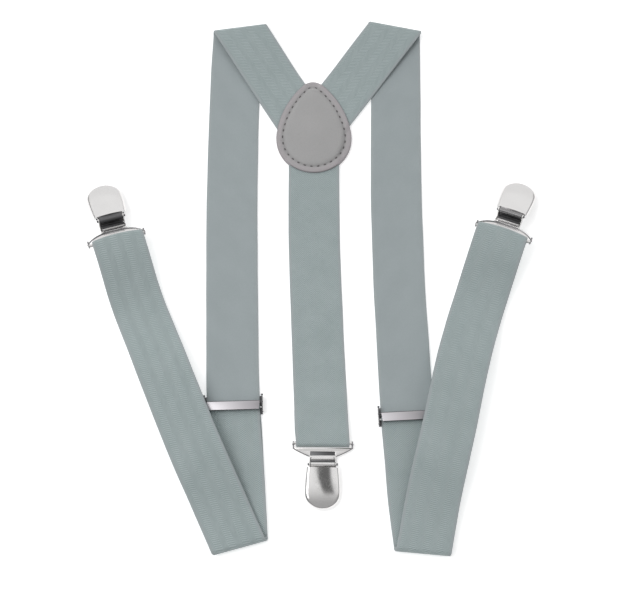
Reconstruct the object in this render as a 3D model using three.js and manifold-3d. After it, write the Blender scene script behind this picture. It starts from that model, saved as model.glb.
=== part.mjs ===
// Clip-on suspenders with a Y back, laid flat on a table and folded.
// Millimetres. +X to the right of the layout, +Y away from the centre clip, +Z up off the table.
// Plan positions are measured from the middle of the leather yoke.
import * as THREE from 'three';
import { mergeVertices } from 'three/addons/utils/BufferGeometryUtils.js';
import Module from 'manifold-3d';

const wasm = await Module();
wasm.setup();

// Webbing
const WEB_W = 34.6;
const WEB_T = 1.2;
const JOIN_GAP = 0.4;

// Heights of the middle of the webbing above the table
const Z_YOKE = 2.1;
const Z_FLAT = 0.7;
const Z_TRACK = 1.55;
const Z_RETURN = 2.95;
const SHOULDER_R = 2.2;
const HEM_OUTER_R = 2.35;
const HEM_INNER_R = 0.95;
const Z_OVER_BUCKLE = 12.9;
const Z_SAG = 4.2;
const PLY_STEP = 1.5;

// Leather yoke
const YOKE_TOP = { x: -0.4, y: 26.0, r: 9.0 };
const YOKE_LOW = { x: 0.3, y: -7.6, r: 26.0 };
const YOKE_FLANK_R = 62;
const LEATHER_T = 1.4;
const LEATHER_TOP_T = 1.2;
const LEATHER_TOP_Z = 2.8;
const SEAM_INSET = 4.4;
const SEAM_R = 0.45;

// Clip, along its own axes: y runs from the strap end to the jaw tip, z up through the lever
const BAR_Y = -2.5;
const BAR_R = 1.15;
const LOOP_R = 1.9;
const PLATE_T = 1.0;
const WING_X = 19.5;
const WING_Y = 0.4;
const ARM_T = 1.1;
const NECK_X = 8.8;
const NECK_Y = 6.2;
const SLOT_X = 7.9;
const SLOT_Y0 = 3.0;
const SLOT_Y1 = 5.5;
const LIP_Y = 7.9;
const RIM_R = 0.45;
const LEAF_X = 7.5;
const LEAF_Y = 9.2;
const LEAF_Z = 1.1;
const EAR_T = 0.85;
const PIN_END = 0.9;
const LEVER_PIN = { y: 12.05, z: 5.2, r: 0.8 };
const JAW_PIN = { y: 16.6, z: 2.4, r: 0.6 };
const KNUCKLE_X = 7.6;
const JAW_TIP_Y = 35;
const LEVER_START_Y = 13.85;
const LEVER_TIP_Y = 40.4;
const LEVER_W0 = 9.6;
const LEVER_W1 = 10.9;
const LEVER_TOP_Z = 6.7;
const LEVER_T = 0.8;

// Adjuster, along its own axes: y up the strap, z up off the table
const ADJ_X = 19.15;
const ADJ_Y = 6.2;
const ADJ_PLATE_T = 0.8;
const ADJ_EAR_T = 0.8;
const ADJ_EAR_Z = 6.6;
const ANCHOR = { y: -2.2, z: 4.1, r: 0.45 };
const LOCK_PIN = { y: 1.25, z: 5.05, r: 0.5 };
const LOCK_HALF = 17.2;
const LOCK_END_Y = -3.9;
const HEM_R = 1.15;

// Layout of each clip: origin at the strap end, turn about the vertical, slope toward the jaw,
// roll about its own length, and how far the strap sits off its middle
const CLIPS = {
  left: { x: -131.9, y: -83.41, z: 11.6, yaw: 18.5, dip: 17.0, roll: 5.0, off: 0.8 },
  right: { x: 127.53, y: -79.17, z: 11.6, yaw: -23.0, dip: 17.0, roll: -5.0, off: -0.8 },
  center: { x: 5.98, y: -224.59, z: 2.6, yaw: 179.6, dip: 3.0, roll: 0.0, off: 0.0 },
};

// Layout of each adjuster: middle of its plate and turn about the vertical
const ADJUSTERS = {
  left: { x: -52.05, y: -196.8, yaw: 1.7 },
  right: { x: 61.05, y: -203.6, yaw: 2.95 },
};

// Centre lines of the runs of webbing and the lines they are folded on
const SIDES = {
  left: {
    flip: 1,
    start: [[-22.8, -4.6], [-0.3, 24.6]],
    back: [[-3.9, -2.4], [-24.8, 31.7], [-48.5, 70.5]],
    shoulder: [[-69.9, 72.0], [-34.2, 77.1]],
    chest: [[-53.2, 76], [-54.6, 40], [-55.3, -16], [-55.2, -70], [-54.2, -125],
      [-52.1, -195], [-50.6, -213.5], [-48.2, -252.7], [-46.0, -287]],
    hem: [[-62.5, -291.2], [-29.5, -282.1]],
    front: [[-48.0, -287], [-63.5, -253.2], [-77.9, -221.8], [-91.6, -188.8],
      [-106.0, -153.6], [-119.8, -119.8], [-129.8, -91]],
  },
  right: {
    flip: -1,
    start: [[0.3, 24.6], [22.8, -4.6]],
    back: [[1.8, -1.3], [25.1, 31.2], [54.0, 71.2]],
    shoulder: [[40.8, 78.8], [74.9, 71.7]],
    chest: [[57.9, 75], [57.3, 23], [56.4, -50], [56.7, -82], [57.4, -118], [58.6, -147],
      [61.05, -203], [62.7, -226.7], [64.7, -259.1], [68.4, -290]],
    hem: [[52.3, -288.9], [87.2, -292.1]],
    front: [[69.8, -290.5], [76.4, -257], [88.4, -207], [98.2, -166], [108.6, -132],
      [124.6, -88]],
  },
};
const CENTER_LINE = [[0.3, -8], [0.3, -53], [0.6, -85], [1.9, -125], [3.1, -159],
  [4.4, -190], [5.5, -221]];
const CENTER_TAB_L = 24;

const FABRIC = { color: 0x94a09e, roughness: 0.9, metalness: 0 };
const LEATHER = { color: 0xa5a3a3, roughness: 0.6, metalness: 0 };
const THREAD = { color: 0x6b6868, roughness: 0.8, metalness: 0 };
const STEEL = { color: 0xc8c8c8, roughness: 0.2, metalness: 1 };
const SATIN = { color: 0xd8d4d6, roughness: 0.4, metalness: 1 };
const PAD = { color: 0xe4e2de, roughness: 0.6, metalness: 0 };

const group = new THREE.Group();

function place(name, geometry, finish, matrix) {
  if (matrix) {
    geometry.applyMatrix4(matrix);
  }
  const mesh = new THREE.Mesh(geometry, new THREE.MeshStandardMaterial(finish));
  mesh.name = name;
  group.add(mesh);
  return mesh;
}

function toSolid(geometry) {
  const bare = geometry.clone();
  bare.deleteAttribute('normal');
  bare.deleteAttribute('uv');
  const merged = mergeVertices(bare, 1e-4);
  const vertProperties = new Float32Array(merged.attributes.position.array);
  const triVerts = new Uint32Array(merged.index.array);
  return new wasm.Manifold(new wasm.Mesh({ numProp: 3, vertProperties, triVerts }));
}

function fromSolid(solid) {
  const mesh = solid.getMesh();
  const geometry = new THREE.BufferGeometry();
  geometry.setAttribute('position', new THREE.BufferAttribute(mesh.vertProperties, 3));
  geometry.setIndex(new THREE.BufferAttribute(mesh.triVerts, 1));
  return geometry;
}

function box(x0, x1, y0, y1, z0, z1) {
  const geometry = new THREE.BoxGeometry(x1 - x0, y1 - y0, z1 - z0);
  return geometry.translate((x0 + x1) / 2, (y0 + y1) / 2, (z0 + z1) / 2);
}

// A rod along X
function rod(half, y, z, r, segments) {
  const geometry = new THREE.CylinderGeometry(r, r, half * 2, segments);
  return geometry.rotateZ(Math.PI / 2).translate(0, y, z);
}

function joined(parts, cuts) {
  let solid = toSolid(parts[0]);
  for (const part of parts.slice(1)) {
    solid = solid.add(toSolid(part));
  }
  for (const cut of cuts) {
    solid = solid.subtract(toSolid(cut));
  }
  return fromSolid(solid);
}

// Webbing between stations; each station holds the two edges of the middle surface
function webbing(stations) {
  const rows = stations.length - 1;
  const geometry = new THREE.BoxGeometry(1, 1, 1, 1, rows, 1);
  const normals = stations.map((s, i) => {
    const a = stations[Math.max(i - 1, 0)];
    const b = stations[Math.min(i + 1, rows)];
    const along = new THREE.Vector3().addVectors(b[0], b[1]).sub(a[0]).sub(a[1]);
    const across = new THREE.Vector3().subVectors(s[1], s[0]);
    return across.cross(along).normalize();
  });
  const position = geometry.attributes.position;
  for (let i = 0; i < position.count; i += 1) {
    const row = Math.round((position.getY(i) + 0.5) * rows);
    const point = stations[row][0].clone().lerp(stations[row][1], position.getX(i) + 0.5);
    point.addScaledVector(normals[row], position.getZ(i) * WEB_T);
    position.setXYZ(i, point.x, point.y, point.z);
  }
  return geometry;
}

// Draws both ends of a length of webbing back by half of the joining gap
function drawnBack(stations) {
  const out = stations.map((s) => [s[0].clone(), s[1].clone()]);
  const last = out.length - 1;
  for (const [end, next] of [[0, 1], [last, last - 1]]) {
    for (const edge of [0, 1]) {
      const step = new THREE.Vector3().subVectors(stations[next][edge], stations[end][edge]);
      out[end][edge].addScaledVector(step, JOIN_GAP / 2 / step.length());
    }
  }
  return out;
}

function lineSide(line, p) {
  const dx = line[1][0] - line[0][0];
  const dy = line[1][1] - line[0][1];
  return dx * (p.y - line[0][1]) - dy * (p.x - line[0][0]);
}

// Edge of a run: the centre line shifted sideways and trimmed at the two fold lines
function trimmedEdge(points, shift, startLine, endLine, count) {
  const curve = new THREE.CatmullRomCurve3(points.map((p) => new THREE.Vector3(p[0], p[1], 0)));
  const dense = [];
  const steps = 160;
  for (let i = 0; i <= steps; i += 1) {
    const at = curve.getPointAt(i / steps);
    const dir = curve.getTangentAt(i / steps);
    dense.push(new THREE.Vector3(at.x - dir.y * shift, at.y + dir.x * shift, 0));
  }
  const first = dense[0].clone().sub(dense[1]).normalize().multiplyScalar(30).add(dense[0]);
  const end = dense[steps].clone().sub(dense[steps - 1]).normalize();
  const last = end.multiplyScalar(30).add(dense[steps]);
  let path = [first, ...dense, last];
  path = cutAt(path, startLine, true);
  path = cutAt(path, endLine, false);
  return evenly(path, count);
}

function cutAt(path, line, keepAfter) {
  if (!line) {
    return keepAfter ? path.slice(1) : path.slice(0, -1);
  }
  const ordered = keepAfter ? path : [...path].reverse();
  for (let i = 0; i < ordered.length - 1; i += 1) {
    const a = lineSide(line, ordered[i]);
    const b = lineSide(line, ordered[i + 1]);
    if (a * b <= 0) {
      const cut = ordered[i].clone().lerp(ordered[i + 1], a / (a - b));
      const kept = [cut, ...ordered.slice(i + 1)];
      return keepAfter ? kept : kept.reverse();
    }
  }
  return path;
}

function evenly(path, count) {
  const reach = [0];
  for (let i = 1; i < path.length; i += 1) {
    reach.push(reach[i - 1] + path[i].distanceTo(path[i - 1]));
  }
  const out = [];
  for (let k = 0; k <= count; k += 1) {
    const want = (reach[reach.length - 1] * k) / count;
    let i = 1;
    while (i < path.length - 1 && reach[i] < want) {
      i += 1;
    }
    const t = (want - reach[i - 1]) / (reach[i] - reach[i - 1]);
    out.push(path[i - 1].clone().lerp(path[i], Math.min(Math.max(t, 0), 1)));
  }
  return out;
}

// A run from its first fold line to its second; edge 0 lies on the side given by flip
function run(points, flip, startLine, endLine, count, height) {
  const half = (WEB_W / 2) * flip;
  const e0 = trimmedEdge(points, half, startLine, endLine, count);
  const e1 = trimmedEdge(points, -half, startLine, endLine, count);
  return e0.map((p, i) => {
    const z = height(i / count);
    return [new THREE.Vector3(p.x, p.y, z), new THREE.Vector3(e1[i].x, e1[i].y, z)];
  });
}

// Height eased between named stops along a run
function eased(stops) {
  return (f) => {
    let i = 1;
    while (i < stops.length - 1 && stops[i][0] < f) {
      i += 1;
    }
    const span = (f - stops[i - 1][0]) / (stops[i][0] - stops[i - 1][0]);
    const t = Math.min(Math.max(span, 0), 1);
    return stops[i - 1][1] + (stops[i][1] - stops[i - 1][1]) * t * t * (3 - 2 * t);
  };
}

// Half turn about a fold line, from the last station of one run to the first of the next
function fold(from, to, line, outward, count) {
  const dir = new THREE.Vector3(line[1][0] - line[0][0], line[1][1] - line[0][1], 0).normalize();
  const out = new THREE.Vector3(-dir.y, dir.x, 0).multiplyScalar(outward);
  const radius = Math.abs(from[0].z - to[0].z) / 2;
  const stations = [];
  for (let k = 0; k <= count; k += 1) {
    const angle = (Math.PI * k) / count;
    const station = [0, 1].map((edge) => {
      const p = from[edge].clone().lerp(to[edge], (1 - Math.cos(angle)) / 2);
      return p.addScaledVector(out, radius * Math.sin(angle));
    });
    stations.push(station);
  }
  return stations;
}

function clipMatrix(spec) {
  const turn = new THREE.Matrix4().makeRotationZ(THREE.MathUtils.degToRad(spec.yaw));
  const dip = new THREE.Matrix4().makeRotationX(THREE.MathUtils.degToRad(-spec.dip));
  const roll = new THREE.Matrix4().makeRotationY(THREE.MathUtils.degToRad(spec.roll));
  const at = new THREE.Matrix4().makeTranslation(spec.x, spec.y, spec.z);
  return at.multiply(turn).multiply(dip).multiply(roll);
}

// Half turn of webbing round the bar of a clip, from right above the bar to right below it
function barLoop(spec, count) {
  const matrix = clipMatrix(spec);
  const lean = THREE.MathUtils.degToRad(spec.dip);
  const stations = [];
  for (let k = 0; k <= count; k += 1) {
    const angle = Math.PI / 2 + lean - (Math.PI * k) / count;
    const y = BAR_Y + LOOP_R * Math.cos(angle);
    const z = LOOP_R * Math.sin(angle);
    stations.push([
      new THREE.Vector3(spec.off - WEB_W / 2, y, z).applyMatrix4(matrix),
      new THREE.Vector3(spec.off + WEB_W / 2, y, z).applyMatrix4(matrix),
    ]);
  }
  return stations;
}

// Bends the last stations of a run so that it ends exactly on the target
function easeInto(stations, target, reach) {
  const last = stations.length - 1;
  const miss = [0, 1].map((e) => target[e].clone().sub(stations[last][e]));
  for (let i = last - reach; i <= last; i += 1) {
    const t = (i - last + reach) / reach;
    const share = t * t * (3 - 2 * t);
    stations[i] = stations[i].map((p, e) => p.clone().addScaledVector(miss[e], share));
  }
}

function span(name, stations) {
  place(name, webbing(drawnBack(stations)), FABRIC);
}

// Line across the strap where it meets the bar of a clip
function barLine(matrix) {
  const a = new THREE.Vector3(-20, BAR_Y, 0).applyMatrix4(matrix);
  const b = new THREE.Vector3(20, BAR_Y, 0).applyMatrix4(matrix);
  return [[a.x, a.y], [b.x, b.y]];
}

function sideStrap(side) {
  const s = SIDES[side];
  const matrix = clipMatrix(CLIPS[side]);
  const loop = barLoop(CLIPS[side], 10);
  const barZ = (loop[0][0].z + loop[0][1].z) / 2;
  const underZ = (loop[10][0].z + loop[10][1].z) / 2;
  const zShoulder = Z_FLAT + 2 * SHOULDER_R;
  const zMainTop = Z_TRACK + 2 * HEM_OUTER_R;
  const zReturnTop = Z_RETURN + 2 * HEM_INNER_R;

  const back = run(s.back, 1, s.start, s.shoulder, 10,
    eased([[0, Z_YOKE], [0.3, Z_YOKE], [1, zShoulder]]));
  const chest = run(s.chest, -1, s.shoulder, s.hem, 36,
    eased([[0, Z_FLAT], [0.21, Z_FLAT], [0.36, Z_TRACK], [1, Z_TRACK]]));
  const front = run(s.front, 1, s.hem, barLine(matrix), 24,
    eased([[0, zMainTop], [0.06, zMainTop], [0.3, Z_OVER_BUCKLE], [0.55, Z_OVER_BUCKLE],
      [0.78, Z_SAG], [1, barZ]]));
  const under = run(s.front, 1, s.hem, barLine(matrix), 24,
    eased([[0, zReturnTop], [0.06, zReturnTop], [0.3, Z_OVER_BUCKLE - PLY_STEP],
      [0.55, Z_OVER_BUCKLE - PLY_STEP], [0.78, Z_SAG - PLY_STEP], [1, underZ]]));
  const shoulder = fold(back[10], chest[0], s.shoulder, 1, 8);
  const hem = fold(chest[36], front[0], s.hem, -1, 8);

  const track = chest.map((st) => st.map((p) => p.clone()));
  for (const st of track) {
    st[0].z = Z_RETURN;
    st[1].z = Z_RETURN;
  }
  const tabAt = returnStart(side, track);
  const hemIn = fold(track[36], under[0], s.hem, -1, 8);
  easeInto(front, loop[0], 6);
  easeInto(under, loop[10], 6);

  span(side + '_back_run', back);
  span(side + '_shoulder_fold', shoulder);
  span(side + '_chest_upper', chest.slice(0, 14));
  span(side + '_chest_lower', chest.slice(13));
  span(side + '_hem_fold', hem);
  span(side + '_front_low', front.slice(0, 13));
  span(side + '_front_high', front.slice(12));
  span(side + '_clip_loop', loop);
  span(side + '_return_run', [tabAt, ...track.filter((st) => st[0].y < tabAt[0].y - 4)]);
  span(side + '_return_fold', hemIn);
  span(side + '_return_front', under);
}

// Where the return layer leaves the adjuster
function returnStart(side, track) {
  const a = ADJUSTERS[side];
  const matrix = new THREE.Matrix4().makeTranslation(a.x, a.y, 0);
  matrix.multiply(new THREE.Matrix4().makeRotationZ(THREE.MathUtils.degToRad(a.yaw)));
  const e0 = new THREE.Vector3(-WEB_W / 2, -ADJ_Y, Z_RETURN).applyMatrix4(matrix);
  const e1 = new THREE.Vector3(WEB_W / 2, -ADJ_Y, Z_RETURN).applyMatrix4(matrix);
  return track[0][0].x < track[0][1].x ? [e0, e1] : [e1, e0];
}

function centerStrap() {
  const matrix = clipMatrix(CLIPS.center);
  const loop = barLoop(CLIPS.center, 10);
  const top = loop[0][0].z;
  const low = loop[10][0].z;
  const stations = run(CENTER_LINE, 1, [[-30, -8], [30, -8]], barLine(matrix), 24,
    eased([[0, Z_YOKE], [0.16, Z_YOKE], [0.32, Z_FLAT], [0.8, Z_FLAT], [0.88, 2.5], [1, top]]));
  easeInto(stations, loop[0], 3);
  span('center_run_upper', stations.slice(0, 10));
  span('center_run_lower', stations.slice(9));
  span('center_clip_loop', loop);
  const tab = run(CENTER_LINE, 1, [[-30, -223.9 + CENTER_TAB_L], [30, -223.9 + CENTER_TAB_L]],
    barLine(matrix), 5, () => low);
  easeInto(tab, loop[10], 3);
  span('center_clip_tab', tab);
}

// Outline of the yoke, drawn in by inset: two circles and the wide arcs of its flanks
function yokeShape(inset) {
  const dx = YOKE_TOP.x - YOKE_LOW.x;
  const dy = YOKE_TOP.y - YOKE_LOW.y;
  const apart = Math.hypot(dx, dy);
  const toLow = YOKE_FLANK_R - YOKE_LOW.r;
  const toTop = YOKE_FLANK_R - YOKE_TOP.r;
  const along = (apart ** 2 + toLow ** 2 - toTop ** 2) / (2 * apart);
  const aside = Math.sqrt(toLow ** 2 - along ** 2);
  const flank = (sign) => ({
    x: YOKE_LOW.x + (dx * along + sign * dy * aside) / apart,
    y: YOKE_LOW.y + (dy * along - sign * dx * aside) / apart,
  });
  const angle = (from, to) => Math.atan2(to.y - from.y, to.x - from.x);
  const west = flank(-1);
  const east = flank(1);
  const wide = YOKE_FLANK_R - inset;
  const shape = new THREE.Shape();
  shape.absarc(YOKE_LOW.x, YOKE_LOW.y, YOKE_LOW.r - inset, angle(east, YOKE_LOW),
    angle(west, YOKE_LOW), false);
  shape.absarc(west.x, west.y, wide, angle(west, YOKE_LOW), angle(west, YOKE_TOP), false);
  shape.absarc(YOKE_TOP.x, YOKE_TOP.y, YOKE_TOP.r - inset, angle(west, YOKE_TOP),
    angle(east, YOKE_TOP), false);
  shape.absarc(east.x, east.y, wide, angle(east, YOKE_TOP), angle(east, YOKE_LOW), false);
  return shape;
}

function slab(shape, thickness, z, curveSegments) {
  const settings = { depth: thickness, bevelEnabled: false, curveSegments };
  return new THREE.ExtrudeGeometry(shape, settings).translate(0, 0, z);
}

function yoke() {
  place('yoke_back_leather', slab(yokeShape(0), LEATHER_T, 0, 16), LEATHER);
  place('yoke_front_leather', slab(yokeShape(0), LEATHER_TOP_T, LEATHER_TOP_Z, 16), LEATHER);
  const ring = yokeShape(SEAM_INSET - SEAM_R);
  ring.holes.push(new THREE.Path(yokeShape(SEAM_INSET + SEAM_R).getPoints(14)));
  place('yoke_seam_thread', slab(ring, 0.35, LEATHER_TOP_Z + LEATHER_TOP_T, 14), THREAD);
}

// Pressed plate of a clip: wide wing, neck and back jaw in one outline
function clipPlateShape() {
  const shape = new THREE.Shape();
  shape.moveTo(-WING_X + 0.6, WING_Y);
  shape.lineTo(WING_X - 0.6, WING_Y);
  shape.quadraticCurveTo(WING_X - 0.1, WING_Y + 1.0, WING_X - 1.9, WING_Y + 1.8);
  shape.quadraticCurveTo(NECK_X + 4.2, NECK_Y - 1.7, NECK_X, NECK_Y);
  shape.lineTo(NECK_X, JAW_PIN.y + 2);
  shape.lineTo(7.6, JAW_PIN.y + 4);
  shape.lineTo(7.6, JAW_TIP_Y - 4);
  shape.quadraticCurveTo(7.6, JAW_TIP_Y + 0.5, 3, JAW_TIP_Y + 1);
  shape.lineTo(-3, JAW_TIP_Y + 1);
  shape.quadraticCurveTo(-7.6, JAW_TIP_Y + 0.5, -7.6, JAW_TIP_Y - 4);
  shape.lineTo(-7.6, JAW_PIN.y + 4);
  shape.lineTo(-NECK_X, JAW_PIN.y + 2);
  shape.lineTo(-NECK_X, NECK_Y);
  shape.quadraticCurveTo(-NECK_X - 4.2, NECK_Y - 1.7, -WING_X + 1.9, WING_Y + 1.8);
  shape.quadraticCurveTo(-WING_X + 0.1, WING_Y + 1.0, -WING_X + 0.6, WING_Y);
  const slot = new THREE.Path();
  slot.moveTo(-SLOT_X, SLOT_Y0);
  slot.lineTo(-SLOT_X, SLOT_Y1);
  slot.lineTo(SLOT_X, SLOT_Y1);
  slot.lineTo(SLOT_X, SLOT_Y0);
  slot.closePath();
  shape.holes.push(slot);
  return shape;
}

// Ear of a clip in its side view, drawn as y and z
function earShape() {
  const r = LEVER_PIN.r + 0.7;
  const shape = new THREE.Shape();
  shape.moveTo(LEVER_PIN.y - r, 0);
  shape.lineTo(JAW_PIN.y + 1.6, 0);
  shape.lineTo(JAW_PIN.y + 1.6, 2.8);
  shape.lineTo(JAW_PIN.y + 0.8, 3.5);
  shape.lineTo(LEVER_PIN.y + r, 3.5);
  shape.lineTo(LEVER_PIN.y + r, LEVER_PIN.z);
  shape.absarc(LEVER_PIN.y, LEVER_PIN.z, r, 0, Math.PI, false);
  shape.closePath();
  return shape;
}

// A side-view shape stood up on the plate with its outer face at x
function upright(shape, x0, thickness) {
  const settings = { depth: thickness, bevelEnabled: false, curveSegments: 8 };
  const geometry = new THREE.ExtrudeGeometry(shape, settings);
  const basis = new THREE.Matrix4().makeBasis(
    new THREE.Vector3(0, 1, 0),
    new THREE.Vector3(0, 0, 1),
    new THREE.Vector3(1, 0, 0),
  );
  return geometry.applyMatrix4(basis).translate(x0, 0, 0);
}

// Raised rolled edge that follows the far side of the wing, and the lip across the neck
function wingRim() {
  const band = (side) => {
    const curve = new THREE.QuadraticBezierCurve3(
      new THREE.Vector3(side * (WING_X - 1.4), WING_Y + 1.3, 0.5),
      new THREE.Vector3(side * (NECK_X + 4.2), NECK_Y - 1.9, 0.5),
      new THREE.Vector3(side * (NECK_X - 0.2), NECK_Y - 0.2, 0.5),
    );
    const round = new THREE.Shape();
    round.absarc(0, 0, RIM_R, 0, Math.PI * 2, false);
    const settings = { extrudePath: curve, steps: 8, curveSegments: 8, bevelEnabled: false };
    return new THREE.ExtrudeGeometry(round, settings);
  };
  return [band(-1), band(1), rod(NECK_X - EAR_T - 0.2, LIP_Y, 0.6, 0.55, 8)];
}

// Ribbed spring leaf that lies in the bottom of the hinge
function springLeaf() {
  const parts = [box(-LEAF_X, LEAF_X, LEAF_Y, LEAF_Y + 5.6, PLATE_T / 2 - 0.05, LEAF_Z)];
  for (const y of [0.8, 2.2, 3.6]) {
    parts.push(rod(LEAF_X, LEAF_Y + y, LEAF_Z, 0.4, 8));
  }
  return parts;
}

function clipFrame() {
  const parts = [slab(clipPlateShape(), PLATE_T, -PLATE_T / 2, 6)];
  parts.push(box(-SLOT_X - 0.3, SLOT_X + 0.3, SLOT_Y0 - 0.3, SLOT_Y1 + 0.3, -PLATE_T / 2, -0.2));
  parts.push(rod(WING_X - 0.4, BAR_Y, 0, BAR_R, 14));
  for (const side of [-1, 1]) {
    const inner = side > 0 ? WING_X - ARM_T : -WING_X;
    parts.push(box(inner, inner + ARM_T, BAR_Y - 1.3, WING_Y + 1.2, -1.2, 1.2));
    const ear = side > 0 ? NECK_X - EAR_T : -NECK_X;
    parts.push(upright(earShape(), ear, EAR_T));
  }
  parts.push(...wingRim(), ...springLeaf());
  const cuts = [rod(12, LEVER_PIN.y, LEVER_PIN.z, LEVER_PIN.r + 0.06, 16)];
  cuts.push(rod(12, JAW_PIN.y, JAW_PIN.z, JAW_PIN.r + 0.06, 16));
  return joined(parts, cuts);
}

// Domed lever: a bent sheet whose outline is a rounded tongue
function leverDome() {
  const across = 10;
  const along = 16;
  const geometry = new THREE.BoxGeometry(2, 1, 1, across, along, 1);
  const position = geometry.attributes.position;
  const shoulderAt = 0.62;
  for (let i = 0; i < position.count; i += 1) {
    const u = position.getX(i);
    const f = position.getY(i) + 0.5;
    let v = (f / 0.55) * shoulderAt;
    let half = LEVER_W0 + (LEVER_W1 - LEVER_W0) * Math.sin((Math.PI / 2) * Math.min(f / 0.55, 1));
    if (f > 0.55) {
      const turn = ((f - 0.55) / 0.45) * THREE.MathUtils.degToRad(80);
      v = shoulderAt + (1 - shoulderAt) * Math.sin(turn) / Math.sin(THREE.MathUtils.degToRad(80));
      half = LEVER_W1 * Math.cos(turn);
    }
    const y = LEVER_START_Y + (LEVER_TIP_Y - LEVER_START_Y) * v;
    const x = u * half;
    const top = LEVER_TOP_Z - 1.5 * (x / LEVER_W1) ** 2 - 2.6 * v ** 3;
    position.setXYZ(i, x, y, top - LEVER_T / 2 + position.getZ(i) * LEVER_T);
  }
  return geometry;
}

function clipLever() {
  const knuckle = rod(KNUCKLE_X, LEVER_PIN.y, LEVER_PIN.z, 1.7, 18);
  const bridge = box(-KNUCKLE_X, KNUCKLE_X, LEVER_PIN.y, LEVER_START_Y + 0.6, 5.2, 5.95);
  const bore = rod(12, LEVER_PIN.y, LEVER_PIN.z, LEVER_PIN.r + 0.08, 16);
  return joined([leverDome(), bridge, knuckle], [bore]);
}

function clipJaw() {
  const shape = new THREE.Shape();
  shape.moveTo(-7.6, JAW_PIN.y + 0.4);
  shape.lineTo(7.6, JAW_PIN.y + 0.4);
  shape.lineTo(7.6, JAW_TIP_Y - 5);
  shape.quadraticCurveTo(7.2, JAW_TIP_Y - 0.4, 3, JAW_TIP_Y);
  shape.lineTo(-3, JAW_TIP_Y);
  shape.quadraticCurveTo(-7.2, JAW_TIP_Y - 0.4, -7.6, JAW_TIP_Y - 5);
  shape.closePath();
  const knuckle = rod(KNUCKLE_X, JAW_PIN.y, JAW_PIN.z, 1.2, 18);
  const bore = rod(12, JAW_PIN.y, JAW_PIN.z, JAW_PIN.r + 0.08, 16);
  return joined([slab(shape, 0.8, 2.0, 6), knuckle], [bore]);
}

function padShape() {
  const shape = new THREE.Shape();
  shape.moveTo(-6.8, JAW_TIP_Y - 9);
  shape.lineTo(6.8, JAW_TIP_Y - 9);
  shape.lineTo(6.8, JAW_TIP_Y - 4.4);
  shape.lineTo(3, JAW_TIP_Y - 0.8);
  shape.lineTo(-3, JAW_TIP_Y - 0.8);
  shape.lineTo(-6.8, JAW_TIP_Y - 4.4);
  shape.closePath();
  return shape;
}

function clip(side) {
  const matrix = clipMatrix(CLIPS[side]);
  const prefix = side + '_clip_';
  place(prefix + 'frame', clipFrame(), STEEL, matrix);
  place(prefix + 'lever', clipLever(), STEEL, matrix);
  place(prefix + 'jaw', clipJaw(), STEEL, matrix);
  const leverPin = rod(NECK_X + PIN_END, LEVER_PIN.y, LEVER_PIN.z, LEVER_PIN.r, 16);
  const jawPin = rod(NECK_X + PIN_END, JAW_PIN.y, JAW_PIN.z, JAW_PIN.r, 16);
  place(prefix + 'lever_pin', leverPin, STEEL, matrix);
  place(prefix + 'jaw_pin', jawPin, STEEL, matrix);
  place(prefix + 'back_pad', slab(padShape(), 0.65, PLATE_T / 2, 6), PAD, matrix);
  place(prefix + 'front_pad', slab(padShape(), 0.7, 1.3, 6), PAD, matrix);
}

function adjuster(side) {
  const a = ADJUSTERS[side];
  const matrix = new THREE.Matrix4().makeTranslation(a.x, a.y, 0);
  matrix.multiply(new THREE.Matrix4().makeRotationZ(THREE.MathUtils.degToRad(a.yaw)));
  const prefix = side + '_adjuster_';
  const inner = ADJ_X - ADJ_EAR_T;
  const frame = joined([
    box(-ADJ_X, ADJ_X, -ADJ_Y, ADJ_Y, 0, ADJ_PLATE_T),
    box(-ADJ_X, -inner, -ADJ_Y, ADJ_Y, 0.2, ADJ_EAR_Z),
    box(inner, ADJ_X, -ADJ_Y, ADJ_Y, 0.2, ADJ_EAR_Z),
  ], [
    rod(25, ANCHOR.y, ANCHOR.z, ANCHOR.r + 0.05, 14),
    rod(25, LOCK_PIN.y, LOCK_PIN.z, LOCK_PIN.r + 0.05, 14),
  ]);
  place(prefix + 'frame', frame, SATIN, matrix);
  place(prefix + 'anchor_bar', rod(ADJ_X, ANCHOR.y, ANCHOR.z, ANCHOR.r, 14), STEEL, matrix);
  place(prefix + 'lock_pin', rod(ADJ_X + 0.2, LOCK_PIN.y, LOCK_PIN.z, LOCK_PIN.r, 14), STEEL, matrix);
  const lockBar = joined([
    rod(LOCK_HALF, LOCK_PIN.y, LOCK_PIN.z, 1.1, 16),
    box(-LOCK_HALF, LOCK_HALF, LOCK_END_Y, LOCK_PIN.y, 6.0, 6.6),
    box(-LOCK_HALF, LOCK_HALF, LOCK_PIN.y - 0.7, LOCK_PIN.y + 0.5, 5.8, 6.6),
  ], [rod(25, LOCK_PIN.y, LOCK_PIN.z, LOCK_PIN.r + 0.07, 14)]);
  place(prefix + 'lock_bar', lockBar, SATIN, matrix);

  const half = WEB_W / 2;
  const tab = [];
  const flat = [-ADJ_Y, ANCHOR.y - 1.6, ANCHOR.y];
  for (const y of flat) {
    tab.push([y, Z_RETURN]);
  }
  for (let k = 1; k <= 8; k += 1) {
    const angle = -Math.PI / 2 + (Math.PI * k) / 8;
    tab.push([ANCHOR.y + HEM_R * Math.cos(angle), ANCHOR.z + HEM_R * Math.sin(angle)]);
  }
  tab.push([ANCHOR.y - 1.3, ANCHOR.z + HEM_R]);
  const stations = tab.map(([y, z]) => [
    new THREE.Vector3(-half, y, z).applyMatrix4(matrix),
    new THREE.Vector3(half, y, z).applyMatrix4(matrix),
  ]);
  span(side + '_return_tab', stations);
}

for (const side of ['left', 'right']) {
  sideStrap(side);
  adjuster(side);
}
centerStrap();
yoke();
for (const side of ['left', 'right', 'center']) {
  clip(side);
}

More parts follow.
